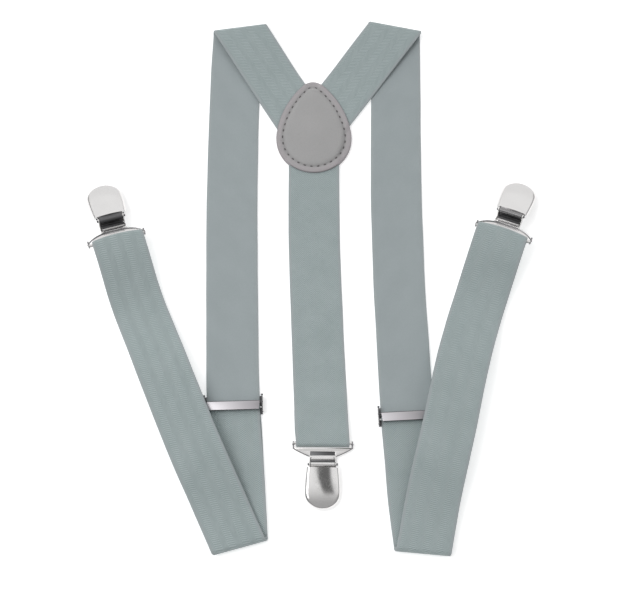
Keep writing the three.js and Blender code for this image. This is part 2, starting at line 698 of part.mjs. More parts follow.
// The finished object stands with its bounding box centred on the origin and its base at zero
const extent = new THREE.Box3();
group.updateMatrixWorld(true);
extent.setFromObject(group, true);
const shift = extent.getCenter(new THREE.Vector3());
for (const mesh of group.children) {
  mesh.geometry.translate(-shift.x, -shift.y, -extent.min.z);
}

export default group;
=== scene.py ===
"""Suspenders with a Y back, laid out flat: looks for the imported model.

Lengths in the layout are millimetres.
"""
import math

import bmesh
import bpy
import numpy as np
from mathutils import Matrix, Vector


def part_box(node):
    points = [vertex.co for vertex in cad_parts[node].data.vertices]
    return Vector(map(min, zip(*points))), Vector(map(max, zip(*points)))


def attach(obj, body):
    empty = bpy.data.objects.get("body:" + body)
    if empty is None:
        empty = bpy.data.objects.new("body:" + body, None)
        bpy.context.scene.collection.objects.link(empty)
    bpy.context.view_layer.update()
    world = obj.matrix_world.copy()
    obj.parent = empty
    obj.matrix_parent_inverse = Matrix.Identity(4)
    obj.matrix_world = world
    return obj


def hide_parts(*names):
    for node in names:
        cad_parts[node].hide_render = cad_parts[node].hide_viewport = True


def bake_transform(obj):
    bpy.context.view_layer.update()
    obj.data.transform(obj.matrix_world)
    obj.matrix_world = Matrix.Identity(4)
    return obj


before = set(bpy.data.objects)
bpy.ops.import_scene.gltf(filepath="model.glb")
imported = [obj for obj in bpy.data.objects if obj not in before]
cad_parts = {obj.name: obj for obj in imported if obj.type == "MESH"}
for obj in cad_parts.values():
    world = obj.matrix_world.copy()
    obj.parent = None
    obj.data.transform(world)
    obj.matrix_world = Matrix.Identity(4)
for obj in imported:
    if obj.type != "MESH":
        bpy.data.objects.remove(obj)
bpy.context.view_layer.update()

MM = 0.001

# ---------------------------------------------------------------- layout
WEB_W = 34.6
WEB_T = 1.2
Z_YOKE = 2.1
Z_FLAT = 0.7
Z_TRACK = 1.55
Z_RETURN = 2.95
SHOULDER_R = 2.2
HEM_OUTER_R = 2.35
HEM_INNER_R = 0.95
Z_OVER_BUCKLE = 12.9
Z_SAG = 4.2
PLY_STEP = 1.5
BAR_Y = -2.5
LOOP_R = 1.9
ADJ_Y = 6.2
ANCHOR_Y = -2.2
ANCHOR_Z = 4.1
HEM_R = 1.15

YOKE_TOP = (-0.4, 26.0, 9.0)
YOKE_LOW = (0.3, -7.6, 26.0)
YOKE_FLANK_R = 62.0

# Each clip: place of its strap end, turn about the vertical, slope, roll, and strap offset
CLIPS = {
    "left": (-131.9, -83.41, 11.6, 18.5, 17.0, 5.0, 0.8),
    "right": (127.53, -79.17, 11.6, -23.0, 17.0, -5.0, -0.8),
    "center": (5.98, -224.59, 2.6, 179.6, 3.0, 0.0, 0.0),
}
ADJUSTERS = {"left": (-52.05, -196.8, 1.7), "right": (61.05, -203.6, 2.95)}
SIDES = {
    "left": {
        "start": [(-22.8, -4.6), (-0.3, 24.6)],
        "back": [(-3.9, -2.4), (-24.8, 31.7), (-48.5, 70.5)],
        "shoulder": [(-69.9, 72.0), (-34.2, 77.1)],
        "chest": [(-53.2, 76), (-54.6, 40), (-55.3, -16), (-55.2, -70), (-54.2, -125),
                  (-52.1, -195), (-50.6, -213.5), (-48.2, -252.7), (-46.0, -287)],
        "hem": [(-62.5, -291.2), (-29.5, -282.1)],
        "front": [(-48.0, -287), (-63.5, -253.2), (-77.9, -221.8), (-91.6, -188.8),
                  (-106.0, -153.6), (-119.8, -119.8), (-129.8, -91)],
    },
    "right": {
        "start": [(0.3, 24.6), (22.8, -4.6)],
        "back": [(1.8, -1.3), (25.1, 31.2), (54.0, 71.2)],
        "shoulder": [(40.8, 78.8), (74.9, 71.7)],
        "chest": [(57.9, 75), (57.3, 23), (56.4, -50), (56.7, -82), (57.4, -118),
                  (58.6, -147), (61.05, -203), (62.7, -226.7), (64.7, -259.1), (68.4, -290)],
        "hem": [(52.3, -288.9), (87.2, -292.1)],
        "front": [(69.8, -290.5), (76.4, -257), (88.4, -207), (98.2, -166), (108.6, -132),
                  (124.6, -88)],
    },
}
CENTER_LINE = [(0.3, -8), (0.3, -53), (0.6, -85), (1.9, -125), (3.1, -159), (4.4, -190),
               (5.5, -221)]
CENTER_TAB_END_Y = -199.9

# The layout is measured from the yoke; the row frame is centred on the whole object
YOKE_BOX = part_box("yoke_back_leather")
SHIFT = np.array([
    (YOKE_BOX[0].x + YOKE_BOX[1].x) / 2 / MM - YOKE_LOW[0],
    YOKE_BOX[1].y / MM - (YOKE_TOP[1] + YOKE_TOP[2]),
    YOKE_BOX[0].z / MM,
])


# ---------------------------------------------------------------- curves and runs
def catmull(points, steps):
    """Centripetal Catmull-Rom curve through the points, sampled evenly by length."""
    p = [np.array(q, float) for q in points]
    p = [2 * p[0] - p[1], *p, 2 * p[-1] - p[-2]]
    out = []
    for i in range(1, len(p) - 2):
        a, b, c, d = p[i - 1], p[i], p[i + 1], p[i + 2]
        t0, t1, t2 = (math.sqrt(max(np.linalg.norm(v), 1e-6)) for v in (b - a, c - b, d - c))
        m1 = ((b - a) / t0 - (c - a) / (t0 + t1) + (c - b) / t1) * t1
        m2 = ((c - b) / t1 - (d - b) / (t1 + t2) + (d - c) / t2) * t1
        for t in np.linspace(0, 1, 24, endpoint=False):
            h = t * t
            k = h * t
            out.append(
                (2 * k - 3 * h + 1) * b + (k - 2 * h + t) * m1
                + (3 * h - 2 * k) * c + (k - h) * m2
            )
    out.append(p[-2])
    return evenly(np.array(out), steps)


def evenly(path, count):
    reach = np.concatenate([[0], np.cumsum(np.linalg.norm(np.diff(path, axis=0), axis=1))])
    want = np.linspace(0, reach[-1], count + 1)
    return np.stack([np.interp(want, reach, path[:, k]) for k in range(path.shape[1])], axis=1)


def line_side(line, p):
    (x0, y0), (x1, y1) = line
    return (x1 - x0) * (p[1] - y0) - (y1 - y0) * (p[0] - x0)


def cut_at(path, line, keep_after):
    """The part of a path after, or before, the place where it meets a line."""
    if line is None:
        return path[1:] if keep_after else path[:-1]
    ordered = path if keep_after else path[::-1]
    for i in range(len(ordered) - 1):
        a, b = line_side(line, ordered[i]), line_side(line, ordered[i + 1])
        if a * b <= 0:
            cut = ordered[i] + (ordered[i + 1] - ordered[i]) * (a / (a - b))
            kept = np.vstack([cut[None], ordered[i + 1:]])
            return kept if keep_after else kept[::-1]
    return path


def trimmed_edge(points, shift, start_line, end_line, count):
    mid = catmull(points, 160)
    along = np.gradient(mid, axis=0)
    along /= np.linalg.norm(along, axis=1)[:, None]
    dense = mid + np.stack([-along[:, 1], along[:, 0]], axis=1) * shift
    first, last = dense[0] - along[0] * 30, dense[-1] + along[-1] * 30
    path = np.vstack([first[None], dense, last[None]])
    path = cut_at(path, start_line, True)
    path = cut_at(path, end_line, False)
    return evenly(path, count)


def eased(stops):
    """Height along a run: smooth steps between (share of the run, height) stops."""
    def height(f):
        i = 1
        while i < len(stops) - 1 and stops[i][0] < f:
            i += 1
        (f0, z0), (f1, z1) = stops[i - 1], stops[i]
        t = min(max((f - f0) / (f1 - f0), 0), 1)
        return z0 + (z1 - z0) * t * t * (3 - 2 * t)
    return height


def run(points, flip, start_line, end_line, count, height):
    """Stations of a run: an array of (station, edge, xyz)."""
    half = WEB_W / 2 * flip
    e0 = trimmed_edge(points, half, start_line, end_line, count)
    e1 = trimmed_edge(points, -half, start_line, end_line, count)
    z = np.array([height(i / count) for i in range(count + 1)])[:, None]
    return np.stack([np.hstack([e0, z]), np.hstack([e1, z])], axis=1)


def fold(start, end, line, side, count):
    """Half turn about a fold line between the end of one run and the start of the next."""
    direction = np.array(line[1], float) - np.array(line[0], float)
    direction /= np.linalg.norm(direction)
    out = np.array([-direction[1], direction[0], 0]) * side
    radius = abs(start[0][2] - end[0][2]) / 2
    stations = []
    for k in range(count + 1):
        angle = math.pi * k / count
        base = start + (end - start) * (1 - math.cos(angle)) / 2
        stations.append(base + out * radius * math.sin(angle))
    return np.array(stations)


def clip_matrix(side):
    x, y, z, yaw, dip, roll = CLIPS[side][:6]
    turn = Matrix.Rotation(math.radians(yaw), 4, "Z") @ Matrix.Rotation(math.radians(-dip), 4, "X")
    return Matrix.Translation((x, y, z)) @ turn @ Matrix.Rotation(math.radians(roll), 4, "Y")


def adjuster_matrix(side):
    x, y, yaw = ADJUSTERS[side]
    return Matrix.Translation((x, y, 0)) @ Matrix.Rotation(math.radians(yaw), 4, "Z")


def across(matrix, y, z, off=0.0):
    """The two edges of the webbing at a place in a clip's or an adjuster's own axes."""
    return np.array([matrix @ Vector((off + s * WEB_W / 2, y, z)) for s in (-1, 1)])


def bar_loop(side, count):
    """Half turn round the bar of a clip, from right above it to right below it."""
    matrix = clip_matrix(side)
    lean, off = math.radians(CLIPS[side][4]), CLIPS[side][6]
    stations = []
    for k in range(count + 1):
        angle = math.pi / 2 + lean - math.pi * k / count
        y, z = BAR_Y + LOOP_R * math.cos(angle), LOOP_R * math.sin(angle)
        stations.append(across(matrix, y, z, off))
    return np.array(stations)


def bar_line(matrix):
    ends = [matrix @ Vector((s * 20, BAR_Y, 0)) for s in (-1, 1)]
    return [(e.x, e.y) for e in ends]


def ease_into(stations, target, reach):
    """Bends the last stations of a run so that it ends exactly on the target station."""
    miss = target - stations[-1]
    n = len(stations)
    for i in range(n):
        t = min(max((i - (n - 1 - reach)) / reach, 0), 1)
        stations[i] += miss * t * t * (3 - 2 * t)
    return stations


# ---------------------------------------------------------------- materials
class Graph:
    """Short-hand for building a node tree."""

    def __init__(self, tree):
        self.tree = tree

    def put(self, socket, value):
        if isinstance(value, bpy.types.NodeSocket):
            self.tree.links.new(value, socket)
        else:
            socket.default_value = value

    def math(self, operation, *values):
        node = self.tree.nodes.new("ShaderNodeMath")
        node.operation = operation
        for socket, value in zip(node.inputs, values):
            self.put(socket, value)
        return node.outputs[0]

    def smooth(self, value, low, high, to_low=0.0, to_high=1.0):
        node = self.tree.nodes.new("ShaderNodeMapRange")
        node.interpolation_type = "SMOOTHSTEP"
        for socket, v in zip(node.inputs, (value, low, high, to_low, to_high)):
            self.put(socket, v)
        return node.outputs[0]


class Nodes(Graph):
    """The node tree of a material with one surface shader."""

    def __init__(self, name):
        self.material = bpy.data.materials.new(name)
        self.material.use_nodes = True
        super().__init__(self.material.node_tree)
        self.tree.nodes.clear()
        out = self.tree.nodes.new("ShaderNodeOutputMaterial")
        self.shader = self.tree.nodes.new("ShaderNodeBsdfPrincipled")
        self.tree.links.new(self.shader.outputs[0], out.inputs[0])

    def noise(self, vector, scale, detail=2.0, roughness=0.5):
        node = self.tree.nodes.new("ShaderNodeTexNoise")
        self.put(node.inputs["Vector"], vector)
        node.inputs["Scale"].default_value = scale
        node.inputs["Detail"].default_value = detail
        node.inputs["Roughness"].default_value = roughness
        return node.outputs["Fac"]

    def cells(self, vector, scale):
        node = self.tree.nodes.new("ShaderNodeTexVoronoi")
        node.feature = "DISTANCE_TO_EDGE"
        self.put(node.inputs["Vector"], vector)
        node.inputs["Scale"].default_value = scale
        return node.outputs[0]

    def mix(self, factor, a, b):
        node = self.tree.nodes.new("ShaderNodeMix")
        node.data_type = "RGBA"
        self.put(node.inputs["Factor"], factor)
        self.put(node.inputs[6], a)
        self.put(node.inputs[7], b)
        return node.outputs[2]

    def attribute(self, name):
        node = self.tree.nodes.new("ShaderNodeAttribute")
        node.attribute_name = name
        split = self.tree.nodes.new("ShaderNodeSeparateXYZ")
        self.tree.links.new(node.outputs["Vector"], split.inputs[0])
        return node.outputs["Vector"], split.outputs

    def object_space(self):
        return self.tree.nodes.new("ShaderNodeTexCoord").outputs["Object"]

    def bump(self, height, distance, strength=1.0):
        node = self.tree.nodes.new("ShaderNodeBump")
        node.inputs["Distance"].default_value = distance
        node.inputs["Strength"].default_value = strength
        self.put(node.inputs["Height"], height)
        self.tree.links.new(node.outputs[0], self.shader.inputs["Normal"])

    def set(self, **values):
        for name, value in values.items():
            self.put(self.shader.inputs[name.replace("_", " ")], value)


def srgb(r, g, b):
    def one(c):
        c /= 255
        return c / 12.92 if c <= 0.04045 else ((c + 0.055) / 1.055) ** 2.4
    return (one(r), one(g), one(b), 1.0)


CHEVRON_W = 4.3
TWILL_PITCH = 1.35
YARN_PITCH = 0.62


def webbing_material():
    """Herringbone twill on the outer side, plain weave inside, smooth selvedges at both edges."""
    n = Nodes("webbing")
    raw, (a, s, side) = n.attribute("weave")
    edge = n.smooth(n.math("ABSOLUTE", a), WEB_W / 2 - 1.9, WEB_W / 2 - 1.4)
    zigzag = n.math("PINGPONG", n.math("ADD", a, 100.0), CHEVRON_W)
    twill = n.math("SINE", n.math("MULTIPLY", n.math("ADD", s, zigzag), 2 * math.pi / TWILL_PITCH))
    warp = n.math("SINE", n.math("MULTIPLY", a, 2 * math.pi / YARN_PITCH))
    weft = n.math("SINE", n.math("MULTIPLY", s, 2 * math.pi / YARN_PITCH))
    plain = n.math("MULTIPLY", warp, weft)
    outer = n.math("MULTIPLY", n.smooth(side, -0.2, 0.2), n.math("SUBTRACT", 1.0, edge))
    body = n.math("ADD", n.math("MULTIPLY", twill, 0.8), n.math("MULTIPLY", plain, 0.35))
    rib = n.math("ADD", n.math("MULTIPLY", weft, 0.35), n.math("MULTIPLY", plain, 0.3))
    height = n.math(
        "ADD",
        n.math("MULTIPLY", body, outer),
        n.math("MULTIPLY", rib, n.math("SUBTRACT", 1.0, outer)),
    )
    cloud = n.noise(raw, 0.06, 3.0)
    fuzz = n.noise(raw, 2.6, 3.0, 0.7)
    tone = n.math("MULTIPLY_ADD", height, 0.34, 0.5)
    tone = n.math("ADD", tone, n.math("MULTIPLY_ADD", cloud, 0.3, -0.15))
    tone = n.math("ADD", tone, n.math("MULTIPLY_ADD", fuzz, 0.6, -0.3))
    tone = n.smooth(tone, 0.0, 1.0)
    face = n.mix(tone, srgb(138, 153, 153), srgb(182, 192, 193))
    lining = n.mix(tone, srgb(149, 158, 160), srgb(172, 181, 183))
    color = n.mix(outer, lining, face)
    color = n.mix(n.math("MULTIPLY", edge, 0.3), color, srgb(168, 174, 175))
    n.set(Base_Color=color, Roughness=n.math("MULTIPLY_ADD", fuzz, 0.2, 0.72))
    n.shader.inputs["Specular IOR Level"].default_value = 0.25
    n.shader.inputs["Sheen Weight"].default_value = 0.25
    n.shader.inputs["Sheen Roughness"].default_value = 0.5
    total = n.math("ADD", height, n.math("MULTIPLY", fuzz, 0.8))
    n.bump(total, 0.00012, 0.8)
    return n.material


def leather_material():
    n = Nodes("leather")
    inset, seam, _ = n.attribute("hide")[1]
    place = n.object_space()
    grain = n.cells(place, 1500)
    grain = n.smooth(grain, 0.0, 0.12)
    pores = n.noise(place, 900, 4.0, 0.6)
    cloud = n.noise(place, 45, 3.0)
    rim = n.smooth(inset, 0.0, 0.9)
    border = n.smooth(inset, 2.6, 4.2, 1.0, 0.0)
    color = n.mix(cloud, srgb(161, 161, 161), srgb(175, 174, 174))
    color = n.mix(border, color, srgb(171, 167, 169))
    color = n.mix(n.math("MULTIPLY", n.math("SUBTRACT", 1.0, grain), 0.25), color, srgb(132, 129, 129))
    color = n.mix(n.math("MULTIPLY", seam, 0.25), color, srgb(122, 118, 119))
    color = n.mix(rim, srgb(158, 152, 155), color)
    n.set(Base_Color=color, Roughness=n.math("MULTIPLY_ADD", pores, 0.2, 0.42))
    n.shader.inputs["Specular IOR Level"].default_value = 0.4
    n.shader.inputs["Coat Weight"].default_value = 0.08
    n.shader.inputs["Coat Roughness"].default_value = 0.35
    total = n.math("ADD", grain, n.math("MULTIPLY", pores, 0.7))
    n.bump(total, 0.00006, 0.7)
    return n.material


def thread_material():
    n = Nodes("thread")
    along, around, _ = n.attribute("twist")[1]
    ply = n.math("SINE", n.math("ADD", n.math("MULTIPLY", along, 9.0), n.math("MULTIPLY", around, 2.0)))
    fuzz = n.noise(n.object_space(), 4000, 2.0)
    color = n.mix(n.math("MULTIPLY_ADD", ply, 0.35, 0.5), srgb(72, 70, 71), srgb(112, 109, 110))
    n.set(Base_Color=color, Roughness=n.math("MULTIPLY_ADD", fuzz, 0.2, 0.65))
    n.shader.inputs["Sheen Weight"].default_value = 0.2
    n.bump(ply, 0.00008, 0.8)
    return n.material


def metal_material(name, color, low, high, brushed):
    n = Nodes(name)
    place = n.object_space()
    if brushed:
        stretch = n.tree.nodes.new("ShaderNodeMapping")
        stretch.inputs["Scale"].default_value = (0.03, 1.0, 1.0)
        n.put(stretch.inputs[0], place)
        streak = n.noise(stretch.outputs[0], 6000, 3.0, 0.6)
    else:
        streak = n.noise(place, 900, 4.0, 0.6)
    smear = n.noise(place, 120, 3.0)
    wear = n.math("MULTIPLY", streak, smear)
    tint = n.mix(smear, color, tuple(c * 0.94 for c in color[:3]) + (1.0,))
    n.set(Base_Color=tint, Roughness=n.smooth(wear, 0.1, 0.5, low, high))
    n.shader.inputs["Metallic"].default_value = 1.0
    n.bump(streak, 0.000003 if brushed else 0.000004, 0.5)
    return n.material


def pad_material():
    n = Nodes("jaw_pad")
    place = n.object_space()
    grit = n.noise(place, 2500, 3.0, 0.6)
    cloud = n.noise(place, 150, 2.0)
    n.set(
        Base_Color=n.mix(cloud, srgb(222, 219, 212), srgb(236, 234, 229)),
        Roughness=n.math("MULTIPLY_ADD", grit, 0.2, 0.5),
    )
    n.shader.inputs["Subsurface Weight"].default_value = 0.1
    n.shader.inputs["Subsurface Radius"].default_value = (0.001, 0.0008, 0.0006)
    n.bump(grit, 0.00002, 0.6)
    return n.material


WEBBING = webbing_material()
LEATHER = leather_material()
THREAD = thread_material()
NICKEL = metal_material("nickel", (0.78, 0.77, 0.765, 1.0), 0.1, 0.2, False)
SATIN = metal_material("satin_steel", (0.62, 0.6, 0.625, 1.0), 0.3, 0.38, True)
# Blackened steel for the pins and the adjuster frame; the same dark metal is also painted shade in the
# clip cavities, on the left knuckle and along the adjuster catch.
DARK = metal_material("dark_steel_and_shade", (0.15, 0.15, 0.155, 1.0), 0.32, 0.45, False)
# A darker copy of the clip nickel: painted shade and painted reflection on the wing rims, the bar tabs
# and the right knuckle.
EDGE = metal_material("painted_shade_steel", (0.3, 0.295, 0.3, 1.0), 0.2, 0.32, False)
PAD = pad_material()


# ---------------------------------------------------------------- mesh helpers
def make(name, vertices, faces, material, smooth=True):
    """A mesh object from layout millimetres."""
    mesh = bpy.data.meshes.new(name)
    mesh.from_pydata([tuple(v) for v in (np.asarray(vertices, float) + SHIFT) * MM], [], faces)
    mesh.materials.append(material)
    if smooth:
        mesh.polygons.foreach_set("use_smooth", [True] * len(mesh.polygons))
    mesh.update()
    obj = bpy.data.objects.new(name, mesh)
    bpy.context.scene.collection.objects.link(obj)
    return obj


def tag(obj, name, values):
    """A vector value at each vertex, for the materials."""
    attribute = obj.data.attributes.new(name, "FLOAT_VECTOR", "POINT")
    attribute.data.foreach_set("vector", np.asarray(values, np.float32).ravel())


def outward(obj):
    bm = bmesh.new()
    bm.from_mesh(obj.data)
    bmesh.ops.recalc_face_normals(bm, faces=bm.faces)
    bm.to_mesh(obj.data)
    bm.free()


def webbing_profile():
    """Closed section of the webbing: place across and through its thickness."""
    flat = WEB_W / 2 - 0.55
    top = [(x, WEB_T / 2) for x in np.linspace(-flat, flat, 15)]
    right = [
        (flat + 0.55 * math.cos(t), WEB_T / 2 * math.sin(t))
        for t in np.radians([54, 18, -18, -54])
    ]
    bottom = [(x, -b) for x, b in reversed(top)]
    left = [(-x, -b) for x, b in right]
    return np.array(top + right + bottom + left)


def ripple(length, seed):
    """Small slow unevenness along a length, in millimetres."""
    phase = seed * 1.7
    return (
        0.5 * np.sin(length / 23.0 + phase) + 0.3 * np.sin(length / 9.1 + 2.3 * phase)
        + 0.2 * np.sin(length / 5.3 + 4.1 * phase)
    )


def webbing(name, stations, start_length=0.0, seed=1, push=None):
    """One continuous length of webbing with round selvedges, from stations in strip order.

    Push moves the middle of the strip at each station, by a vector."""
    profile = webbing_profile()
    count, sides = len(stations), len(profile)
    mid = stations.mean(axis=1)
    along = np.gradient(mid, axis=0)
    over = stations[:, 1] - stations[:, 0]
    normal = np.cross(over, along)
    normal /= np.linalg.norm(normal, axis=1)[:, None]
    reach = [
        start_length + np.concatenate(
            [[0], np.cumsum(np.linalg.norm(np.diff(stations[:, e], axis=0), axis=1))]
        )
        for e in (0, 1)
    ]
    waver = ripple(reach[0], seed) * 0.12, ripple(reach[1], seed + 1) * 0.12
    vertices, weave = [], []
    for i in range(count):
        unit = over[i] / np.linalg.norm(over[i])
        for x, b in profile:
            t = x / WEB_W + 0.5
            point = stations[i, 0] * (1 - t) + stations[i, 1] * t
            point = point + unit * (waver[0][i] * (1 - t) + waver[1][i] * t)
            if push is not None:
                point = point + push[i] * (1 - (2 * x / WEB_W) ** 2)
            vertices.append(point + normal[i] * b)
            s = reach[0][i] * (1 - t) + reach[1][i] * t
            weave.append((x, s, np.sign(b) if abs(b) > 0.2 * WEB_T else 0.0))
    faces = []
    for i in range(count - 1):
        for k in range(sides):
            a, b = i * sides + k, i * sides + (k + 1) % sides
            faces.append((a, b, b + sides, a + sides))
    faces.append(tuple(range(sides)))
    faces.append(tuple(reversed(range((count - 1) * sides, count * sides))))
    obj = make(name, vertices, faces, WEBBING)
    for cap in obj.data.polygons[-2:]:
        cap.use_smooth = False
    tag(obj, "weave", weave)
    outward(obj)
    return obj, reach[0][-1]


# ---------------------------------------------------------------- shoulder straps
# The middle of the webbing stands out round the bowed bar of a front clip
BAR_BOW = 1.9
LOOP_STEPS = 16
BOW_FADE = 10


def side_strap(side):
    """From the yoke over the shoulder, down to the hem, up to the clip and back under."""
    s = SIDES[side]
    matrix = clip_matrix(side)
    loop = bar_loop(side, LOOP_STEPS)
    bar_z = loop[0, :, 2].mean()
    under_z = loop[-1, :, 2].mean()
    z_shoulder = Z_FLAT + 2 * SHOULDER_R
    z_main = Z_TRACK + 2 * HEM_OUTER_R
    z_inner = Z_RETURN + 2 * HEM_INNER_R
    back = run(s["back"], 1, s["start"], s["shoulder"], 50,
               eased([(0, Z_YOKE), (0.3, Z_YOKE), (1, z_shoulder)]))
    chest = run(s["chest"], -1, s["shoulder"], s["hem"], 180,
                eased([(0, Z_FLAT), (0.21, Z_FLAT), (0.36, Z_TRACK), (1, Z_TRACK)]))
    front = run(s["front"], 1, s["hem"], bar_line(matrix), 110,
                eased([(0, z_main), (0.06, z_main), (0.3, Z_OVER_BUCKLE),
                       (0.55, Z_OVER_BUCKLE), (0.78, Z_SAG), (1, bar_z)]))
    under = run(s["front"], 1, s["hem"], bar_line(matrix), 110,
                eased([(0, z_inner), (0.06, z_inner), (0.3, Z_OVER_BUCKLE - PLY_STEP),
                       (0.55, Z_OVER_BUCKLE - PLY_STEP), (0.78, Z_SAG - PLY_STEP), (1, under_z)]))
    front = ease_into(front, loop[0], 28)
    under = ease_into(under, loop[-1], 28)
    track = chest.copy()
    track[:, :, 2] = Z_RETURN
    shoulder = fold(back[-1], chest[0], s["shoulder"], 1, 16)
    hem = fold(chest[-1], front[0], s["hem"], -1, 16)
    hem_in = fold(track[-1], under[0], s["hem"], -1, 12)
    stations = np.concatenate([
        back[:-1], shoulder[:-1], chest[:-1], hem[:-1], front[:-1], loop[:-1],
        under[::-1][:-1], hem_in[::-1],
    ])
    middle = sum(len(part) - 1 for part in (back, shoulder, chest, hem, front)) + LOOP_STEPS / 2 + 1
    beyond = np.abs(np.arange(len(stations)) - middle) - LOOP_STEPS / 2
    near = np.clip(1 - np.maximum(beyond, 0) / BOW_FADE, 0, 1)
    push = (near ** 2 * (3 - 2 * near))[:, None] * np.array(matrix.to_3x3().col[1]) * BAR_BOW
    strap, length = webbing(side + "_strap", stations, 0.0, 1 if side == "left" else 5, push)
    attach(strap, "webbing_harness")
    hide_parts(*(side + "_" + part for part in (
        "back_run", "shoulder_fold", "chest_upper", "chest_lower", "hem_fold", "front_low",
        "front_high", "clip_loop", "return_fold", "return_front")))
    return_ply(side, track, length)


def return_ply(side, track, length):
    """The rest of the strap, from the hem up over the chest run into the adjuster."""
    holder = adjuster_matrix(side)
    tab = [across(holder, y, Z_RETURN) for y in np.linspace(-ADJ_Y, ANCHOR_Y, 4)]
    for k in range(1, 13):
        angle = -math.pi / 2 + math.pi * k / 12
        tab.append(across(holder, ANCHOR_Y + HEM_R * math.cos(angle),
                          ANCHOR_Z + HEM_R * math.sin(angle)))
    tab.append(across(holder, ANCHOR_Y - 1.3, ANCHOR_Z + HEM_R))
    tab = np.array(tab)
    if track[0, 0, 0] > track[0, 1, 0]:
        tab = tab[:, ::-1]
    below = track[::-1]
    below = below[below[:, :, 1].max(axis=1) < tab[0, :, 1].min() - 1]
    below = ease_into(below, below[-1] + (tab[0] - below[-1]) * np.array([1, 0, 1]), 20)
    back_ply, extra = webbing(side + "_return", np.concatenate([below, tab]), length,
                              2 if side == "left" else 6)
    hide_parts(side + "_return_run", side + "_return_tab")
    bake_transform(back_ply)


def center_strap():
    """From the yoke down to the centre clip, with a short tab back under."""
    matrix = clip_matrix("center")
    loop = bar_loop("center", LOOP_STEPS)
    top, low = loop[0, :, 2].mean(), loop[-1, :, 2].mean()
    stations = run(CENTER_LINE, 1, [(-30, -8), (30, -8)], bar_line(matrix), 110,
                   eased([(0, Z_YOKE), (0.16, Z_YOKE), (0.32, Z_FLAT), (0.8, Z_FLAT),
                          (0.88, 2.5), (1, top)]))
    stations = ease_into(stations, loop[0], 14)
    tab_line = [(-30, CENTER_TAB_END_Y), (30, CENTER_TAB_END_Y)]
    tab = run(CENTER_LINE, 1, tab_line, bar_line(matrix), 14, lambda f: low)
    tab = ease_into(tab, loop[-1], 6)
    strap, length = webbing(
        "center_strap", np.concatenate([stations[:-1], loop[:-1], tab[::-1]]), 0.0, 9)
    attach(strap, "webbing_harness")
    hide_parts("center_run_upper", "center_run_lower", "center_clip_loop",
                "center_clip_tab")


side_strap("left")
side_strap("right")
center_strap()

# ---------------------------------------------------------------- yoke
SEAM_INSET = 4.4
RING_POINTS = 200


def yoke_ring():
    """Points of the outline and their outward directions, evenly by length."""
    (x1, y1, r1), (x0, y0, r0) = YOKE_TOP, YOKE_LOW
    dx, dy = x1 - x0, y1 - y0
    apart = math.hypot(dx, dy)
    to_low, to_top = YOKE_FLANK_R - r0, YOKE_FLANK_R - r1
    along = (apart ** 2 + to_low ** 2 - to_top ** 2) / (2 * apart)
    aside = math.sqrt(to_low ** 2 - along ** 2)

    def flank(sign):
        return (
            x0 + (dx * along + sign * dy * aside) / apart,
            y0 + (dy * along - sign * dx * aside) / apart,
        )

    def angle(start, end):
        return math.atan2(end[1] - start[1], end[0] - start[0]) % (2 * math.pi)

    west, east = flank(-1), flank(1)
    rows = []
    for center, radius, start, end in (
        ((x0, y0), r0, angle(east, (x0, y0)), angle(west, (x0, y0))),
        (west, YOKE_FLANK_R, angle(west, (x0, y0)), angle(west, (x1, y1))),
        ((x1, y1), r1, angle(west, (x1, y1)), angle(east, (x1, y1))),
        (east, YOKE_FLANK_R, angle(east, (x1, y1)), angle(east, (x0, y0))),
    ):
        if end < start:
            end += 2 * math.pi
        for t in np.linspace(start, end, 160, endpoint=False):
            c, d = math.cos(t), math.sin(t)
            rows.append((center[0] + radius * c, center[1] + radius * d, c, d))
    rows.append(rows[0])
    rows = np.array(rows)
    reach = np.concatenate([[0], np.cumsum(np.hypot(*np.diff(rows[:, :2], axis=0).T))])
    want = np.linspace(0, reach[-1], RING_POINTS, endpoint=False)
    ring = np.stack([np.interp(want, reach, rows[:, k]) for k in range(4)], axis=1)
    ring[:, 2:] /= np.linalg.norm(ring[:, 2:], axis=1)[:, None]
    return ring


def band_cover(x, y):
    """How far a point lies on one of the three straps that enter the yoke, from 0 to 1."""
    cover = 0.0
    bands = (
        ((-3.9, -2.4), (-48.5, 70.5)), ((1.8, -1.3), (54.0, 71.2)), ((0.3, -8.0), (0.3, -85.0)),
    )
    for (ax, ay), (bx, by) in bands:
        dx, dy = bx - ax, by - ay
        size = math.hypot(dx, dy)
        off = abs((x - ax) * dy - (y - ay) * dx) / size
        ahead = ((x - ax) * dx + (y - ay) * dy) / size
        inside = min(max((WEB_W / 2 + 1.4 - off) / 2.8, 0), 1) * min(max((ahead + 6) / 6, 0), 1)
        cover = max(cover, inside)
    return cover * cover * (3 - 2 * cover)


RING = yoke_ring()


